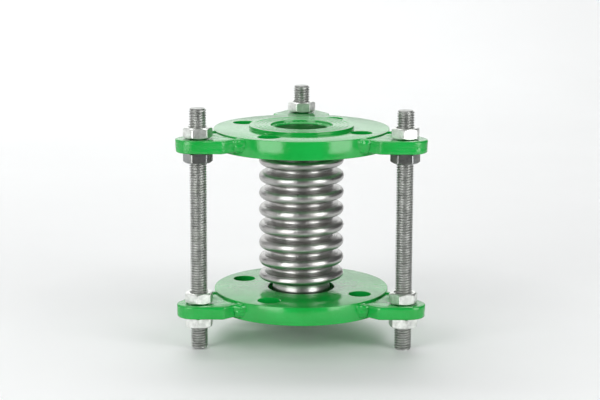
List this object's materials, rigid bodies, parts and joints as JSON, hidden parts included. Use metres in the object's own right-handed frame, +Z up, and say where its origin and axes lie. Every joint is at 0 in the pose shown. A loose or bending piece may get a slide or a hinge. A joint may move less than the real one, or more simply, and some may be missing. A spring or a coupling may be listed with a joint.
{
  "type": "expansion joint",
  "caption": "Metal bellows pipe expansion joint between two plate flanges, held at length by threaded tie rods through welded lugs with nuts on both sides.",
  "frame": {"origin": "on the pipe axis, midway between the two raised faces", "axes": "+Z up the pipe axis, +Y towards the first tie rod, +X to the right seen from the side opposite that rod"},
  "size_m": [0.23, 0.213, 0.2251],
  "materials": {
    "enamel": "glossy green enamel over turned and flame-cut steel plate",
    "stainless": "bright formed stainless steel sheet with fine circumferential lines",
    "zinc": "dull zinc plating on threaded steel bar and hex nuts"
  },
  "bodies": {
    "tie_rods": {"tie_rod_1": "zinc", "tie_rod_2": "zinc", "tie_rod_3": "zinc"},
    "upper_end": {"upper_flange": "enamel", "upper_seal_weld": "enamel", "upper_lug_1": "enamel", "upper_lug_2": "enamel", "upper_lug_3": "enamel"},
    "lower_end": {"lower_flange": "enamel", "lower_seal_weld": "enamel", "lower_lug_1": "enamel", "lower_lug_2": "enamel", "lower_lug_3": "enamel", "bellows": "stainless"},
    "upper_outer_nut_1": {"upper_outer_nut_1": "zinc"},
    "upper_outer_nut_2": {"upper_outer_nut_2": "zinc"},
    "upper_outer_nut_3": {"upper_outer_nut_3": "zinc"},
    "upper_inner_nut_1": {"upper_inner_nut_1": "zinc"},
    "upper_inner_nut_2": {"upper_inner_nut_2": "zinc"},
    "upper_inner_nut_3": {"upper_inner_nut_3": "zinc"},
    "lower_outer_nut_1": {"lower_outer_nut_1": "zinc"},
    "lower_outer_nut_2": {"lower_outer_nut_2": "zinc"},
    "lower_outer_nut_3": {"lower_outer_nut_3": "zinc"},
    "lower_inner_nut_1": {"lower_inner_nut_1": "zinc"},
    "lower_inner_nut_2": {"lower_inner_nut_2": "zinc"},
    "lower_inner_nut_3": {"lower_inner_nut_3": "zinc"}
  },
  "joints": [
    {"name": "upper_flange_travel", "type": "slide", "parent": "tie_rods", "child": "upper_end", "axis": [0, 0, 1], "range_m": [-0.01, 0.006], "deforming": ["bellows"]},
    {"name": "lower_flange_travel", "type": "slide", "parent": "tie_rods", "child": "lower_end", "axis": [0, 0, 1], "range_m": [-0.006, 0.01], "deforming": ["bellows"]},
    {"name": "upper_outer_nut_1_turn", "type": "hinge", "parent": "upper_end", "child": "upper_outer_nut_1", "pos_m": [0, 0.1089, 0], "axis": [0, 0, 1], "continuous": true},
    {"name": "upper_outer_nut_2_turn", "type": "hinge", "parent": "upper_end", "child": "upper_outer_nut_2", "pos_m": [-0.09431, -0.05445, 0], "axis": [0, 0, 1], "continuous": true},
    {"name": "upper_outer_nut_3_turn", "type": "hinge", "parent": "upper_end", "child": "upper_outer_nut_3", "pos_m": [0.09431, -0.05445, 0], "axis": [0, 0, 1], "continuous": true},
    {"name": "upper_inner_nut_1_turn", "type": "hinge", "parent": "upper_end", "child": "upper_inner_nut_1", "pos_m": [0, 0.1089, 0], "axis": [0, 0, 1], "continuous": true},
    {"name": "upper_inner_nut_2_turn", "type": "hinge", "parent": "upper_end", "child": "upper_inner_nut_2", "pos_m": [-0.09431, -0.05445, 0], "axis": [0, 0, 1], "continuous": true},
    {"name": "upper_inner_nut_3_turn", "type": "hinge", "parent": "upper_end", "child": "upper_inner_nut_3", "pos_m": [0.09431, -0.05445, 0], "axis": [0, 0, 1], "continuous": true},
    {"name": "lower_outer_nut_1_turn", "type": "hinge", "parent": "lower_end", "child": "lower_outer_nut_1", "pos_m": [0, 0.1089, 0], "axis": [0, 0, 1], "continuous": true},
    {"name": "lower_outer_nut_2_turn", "type": "hinge", "parent": "lower_end", "child": "lower_outer_nut_2", "pos_m": [-0.09431, -0.05445, 0], "axis": [0, 0, 1], "continuous": true},
    {"name": "lower_outer_nut_3_turn", "type": "hinge", "parent": "lower_end", "child": "lower_outer_nut_3", "pos_m": [0.09431, -0.05445, 0], "axis": [0, 0, 1], "continuous": true},
    {"name": "lower_inner_nut_1_turn", "type": "hinge", "parent": "lower_end", "child": "lower_inner_nut_1", "pos_m": [0, 0.1089, 0], "axis": [0, 0, 1], "continuous": true},
    {"name": "lower_inner_nut_2_turn", "type": "hinge", "parent": "lower_end", "child": "lower_inner_nut_2", "pos_m": [-0.09431, -0.05445, 0], "axis": [0, 0, 1], "continuous": true},
    {"name": "lower_inner_nut_3_turn", "type": "hinge", "parent": "lower_end", "child": "lower_inner_nut_3", "pos_m": [0.09431, -0.05445, 0], "axis": [0, 0, 1], "continuous": true}
  ],
  "couplings": [
    {"joint": "upper_outer_nut_1_turn", "follows": "upper_flange_travel", "rad_per_m": 3141.6},
    {"joint": "upper_outer_nut_2_turn", "follows": "upper_flange_travel", "rad_per_m": 3141.6},
    {"joint": "upper_outer_nut_3_turn", "follows": "upper_flange_travel", "rad_per_m": 3141.6},
    {"joint": "upper_inner_nut_1_turn", "follows": "upper_flange_travel", "rad_per_m": 3141.6},
    {"joint": "upper_inner_nut_2_turn", "follows": "upper_flange_travel", "rad_per_m": 3141.6},
    {"joint": "upper_inner_nut_3_turn", "follows": "upper_flange_travel", "rad_per_m": 3141.6},
    {"joint": "lower_outer_nut_1_turn", "follows": "lower_flange_travel", "rad_per_m": 3141.6},
    {"joint": "lower_outer_nut_2_turn", "follows": "lower_flange_travel", "rad_per_m": 3141.6},
    {"joint": "lower_outer_nut_3_turn", "follows": "lower_flange_travel", "rad_per_m": 3141.6},
    {"joint": "lower_inner_nut_1_turn", "follows": "lower_flange_travel", "rad_per_m": 3141.6},
    {"joint": "lower_inner_nut_2_turn", "follows": "lower_flange_travel", "rad_per_m": 3141.6},
    {"joint": "lower_inner_nut_3_turn", "follows": "lower_flange_travel", "rad_per_m": 3141.6}
  ]
}
